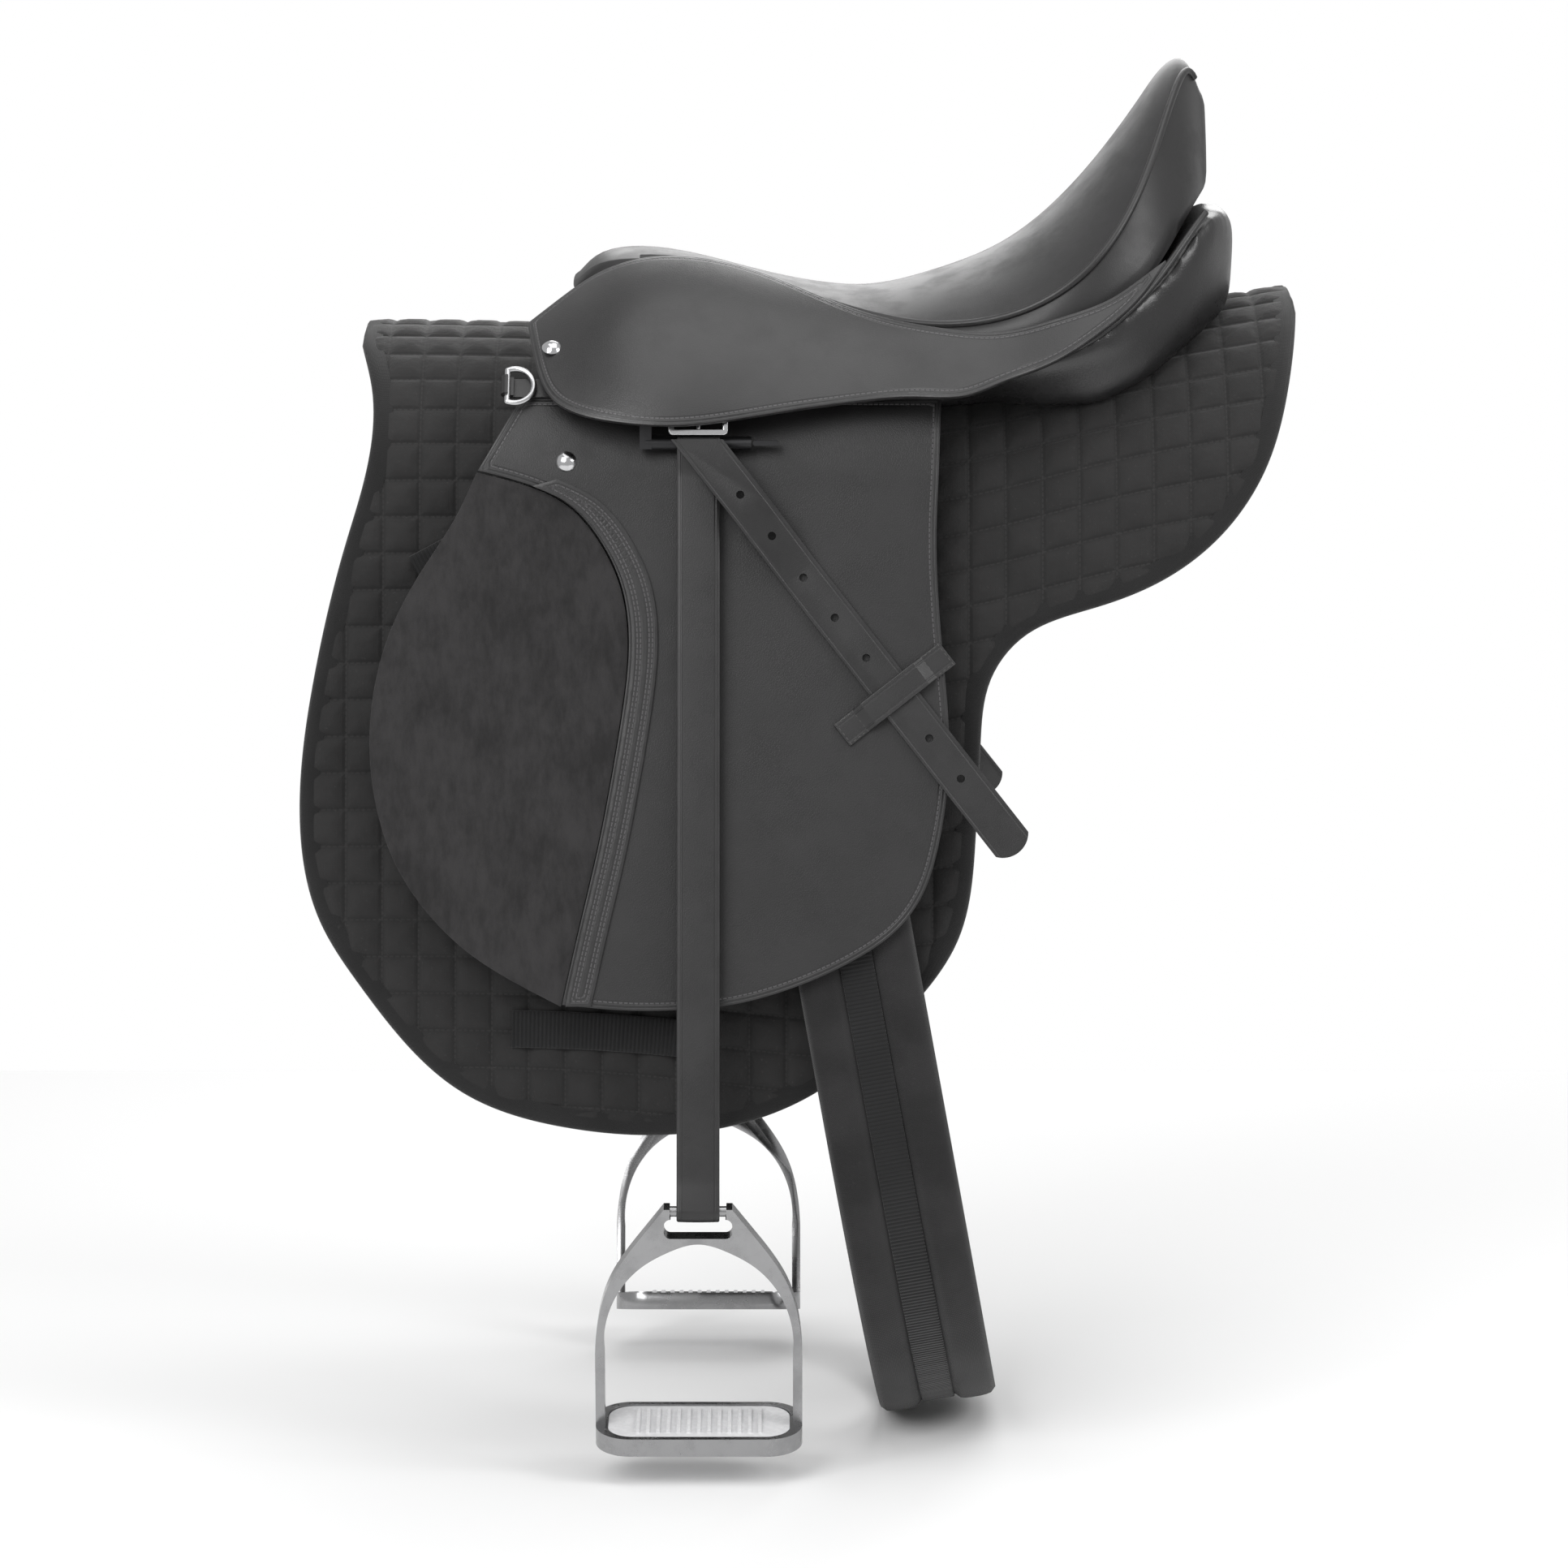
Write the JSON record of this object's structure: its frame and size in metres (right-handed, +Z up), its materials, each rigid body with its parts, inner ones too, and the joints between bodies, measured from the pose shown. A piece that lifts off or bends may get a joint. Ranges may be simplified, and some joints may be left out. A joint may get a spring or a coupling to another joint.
{
  "type": "english saddle",
  "caption": "General purpose english saddle in black leather on a quilted pad, with girth, stirrup leathers and stirrup irons.",
  "frame": {"origin": "on the symmetry plane at the underside of the saddle pad's crown, under the lowest point of the seat", "axes": "+X towards the cantle (rear), -X towards the pommel, -Y the near (left) side, +Z up"},
  "size_m": [0.593, 0.4316, 0.8395],
  "materials": {
    "binding_cotton": "twill tape",
    "black_leather": "smooth, soft sheen",
    "chrome": "polished",
    "foam": "soft foam",
    "girth_cotton": "padded, matt",
    "plywood": "laminated",
    "quilted_cotton": "quilted, matt",
    "seat_leather": "soft grained, soft sheen",
    "steel": "satin",
    "suede": "napped, matt",
    "webbing": "ribbed webbing",
    "white_rubber": "moulded"
  },
  "bodies": {
    "saddle": {"tree": "plywood", "head_plate": "steel", "seat_webbing": "webbing", "seat_foam": "foam", "seat_cover": "seat_leather", "panel_cushion_left": "black_leather", "panel_cushion_right": "black_leather", "panel_lower_left": "black_leather", "panel_lower_right": "black_leather", "sweat_flap_left": "black_leather", "sweat_flap_right": "black_leather", "flap_top_left": "black_leather", "flap_top_right": "black_leather", "skirt_top_left": "black_leather", "skirt_top_right": "black_leather", "stirrup_bar_left": "steel", "stirrup_bar_right": "steel", "dee_chape_left": "black_leather", "dee_chape_right": "black_leather", "skirt_studs": "chrome", "saddle_pad_left": "quilted_cotton", "saddle_pad_right": "quilted_cotton", "pad_binding_left": "binding_cotton", "pad_binding_right": "binding_cotton", "pad_webbing": "webbing"},
    "flap_left_body": {"flap_left": "black_leather", "knee_patch_left": "suede", "patch_trim_left": "black_leather", "flap_stud_left": "chrome", "leather_keeper_left": "black_leather", "leather_tail_left": "black_leather"},
    "skirt_left_body": {"skirt_left": "black_leather"},
    "loop_left_body": {"leather_loop_left": "black_leather", "stirrup_buckle_left": "chrome", "buckle_tongue_left": "chrome"},
    "leather_left_body": {"stirrup_leather_left": "black_leather"},
    "iron_left_body": {"stirrup_iron_left": "chrome", "stirrup_tread_left": "white_rubber"},
    "dee_left_body": {"dee_ring_left": "chrome"},
    "catch_left_body": {"bar_catch_left": "steel"},
    "flap_right_body": {"flap_right": "black_leather", "knee_patch_right": "suede", "patch_trim_right": "black_leather", "flap_stud_right": "chrome", "leather_keeper_right": "black_leather", "leather_tail_right": "black_leather"},
    "skirt_right_body": {"skirt_right": "black_leather"},
    "loop_right_body": {"leather_loop_right": "black_leather", "stirrup_buckle_right": "chrome", "buckle_tongue_right": "chrome"},
    "leather_right_body": {"stirrup_leather_right": "black_leather"},
    "iron_right_body": {"stirrup_iron_right": "chrome", "stirrup_tread_right": "white_rubber"},
    "dee_right_body": {"dee_ring_right": "chrome"},
    "catch_right_body": {"bar_catch_right": "steel"},
    "girth_body": {"girth": "girth_cotton", "girth_webbing": "webbing", "girth_buckles": "chrome", "girth_buckle_tongues": "chrome", "billets": "black_leather"}
  },
  "joints": [
    {"name": "flap_lift_left", "type": "hinge", "parent": "saddle", "child": "flap_left_body", "pos_m": [-0.095, -0.14677, -0.045], "axis": [-1, 0, 0], "range_deg": [0, 43]},
    {"name": "skirt_lift_left", "type": "hinge", "parent": "saddle", "child": "skirt_left_body", "pos_m": [-0.04, -0.1595, 0], "axis": [-1, 0, 0], "range_deg": [0, 28]},
    {"name": "leather_out_left", "type": "hinge", "parent": "flap_left_body", "child": "loop_left_body", "pos_m": [-0.095, -0.14677, -0.045], "axis": [-1, 0, 0], "range_deg": [0, 6.5]},
    {"name": "leather_swing_left", "type": "hinge", "parent": "loop_left_body", "child": "leather_left_body", "pos_m": [-0.095, -0.14677, -0.045], "axis": [0, -0.9903, 0.1392], "range_deg": [-35, 10]},
    {"name": "iron_tilt_left", "type": "hinge", "parent": "leather_left_body", "child": "iron_left_body", "pos_m": [-0.095, -0.20939, -0.49062], "axis": [-1, 0, 0], "range_deg": [-45, 60]},
    {"name": "dee_swing_left", "type": "hinge", "parent": "saddle", "child": "dee_left_body", "pos_m": [-0.208, -0.12878, -0.012], "axis": [0, 0.4985, 0.8669], "range_deg": [-110, 0]},
    {"name": "catch_turn_left", "type": "hinge", "parent": "saddle", "child": "catch_left_body", "pos_m": [-0.0607, -0.14677, -0.045], "axis": [0, -1, 0], "range_deg": [0, 80]},
    {"name": "flap_lift_right", "type": "hinge", "parent": "saddle", "child": "flap_right_body", "pos_m": [-0.095, 0.14677, -0.045], "axis": [1, 0, 0], "range_deg": [0, 43]},
    {"name": "skirt_lift_right", "type": "hinge", "parent": "saddle", "child": "skirt_right_body", "pos_m": [-0.04, 0.1595, 0], "axis": [1, 0, 0], "range_deg": [0, 28]},
    {"name": "leather_out_right", "type": "hinge", "parent": "flap_right_body", "child": "loop_right_body", "pos_m": [-0.095, 0.14677, -0.045], "axis": [1, 0, 0], "range_deg": [0, 6.5]},
    {"name": "leather_swing_right", "type": "hinge", "parent": "loop_right_body", "child": "leather_right_body", "pos_m": [-0.095, 0.14677, -0.045], "axis": [0, 0.9903, 0.1392], "range_deg": [-10, 35]},
    {"name": "iron_tilt_right", "type": "hinge", "parent": "leather_right_body", "child": "iron_right_body", "pos_m": [-0.095, 0.20939, -0.49062], "axis": [1, 0, 0], "range_deg": [-45, 60]},
    {"name": "dee_swing_right", "type": "hinge", "parent": "saddle", "child": "dee_right_body", "pos_m": [-0.208, 0.12878, -0.012], "axis": [0, -0.4985, 0.8669], "range_deg": [0, 110]},
    {"name": "catch_turn_right", "type": "hinge", "parent": "saddle", "child": "catch_right_body", "pos_m": [-0.0607, 0.14677, -0.045], "axis": [0, -1, 0], "range_deg": [0, 80]},
    {"name": "girth_swing", "type": "hinge", "parent": "saddle", "child": "girth_body", "pos_m": [-0.055, 0, -0.062], "axis": [0, 1, 0], "range_deg": [-8, 6]}
  ]
}
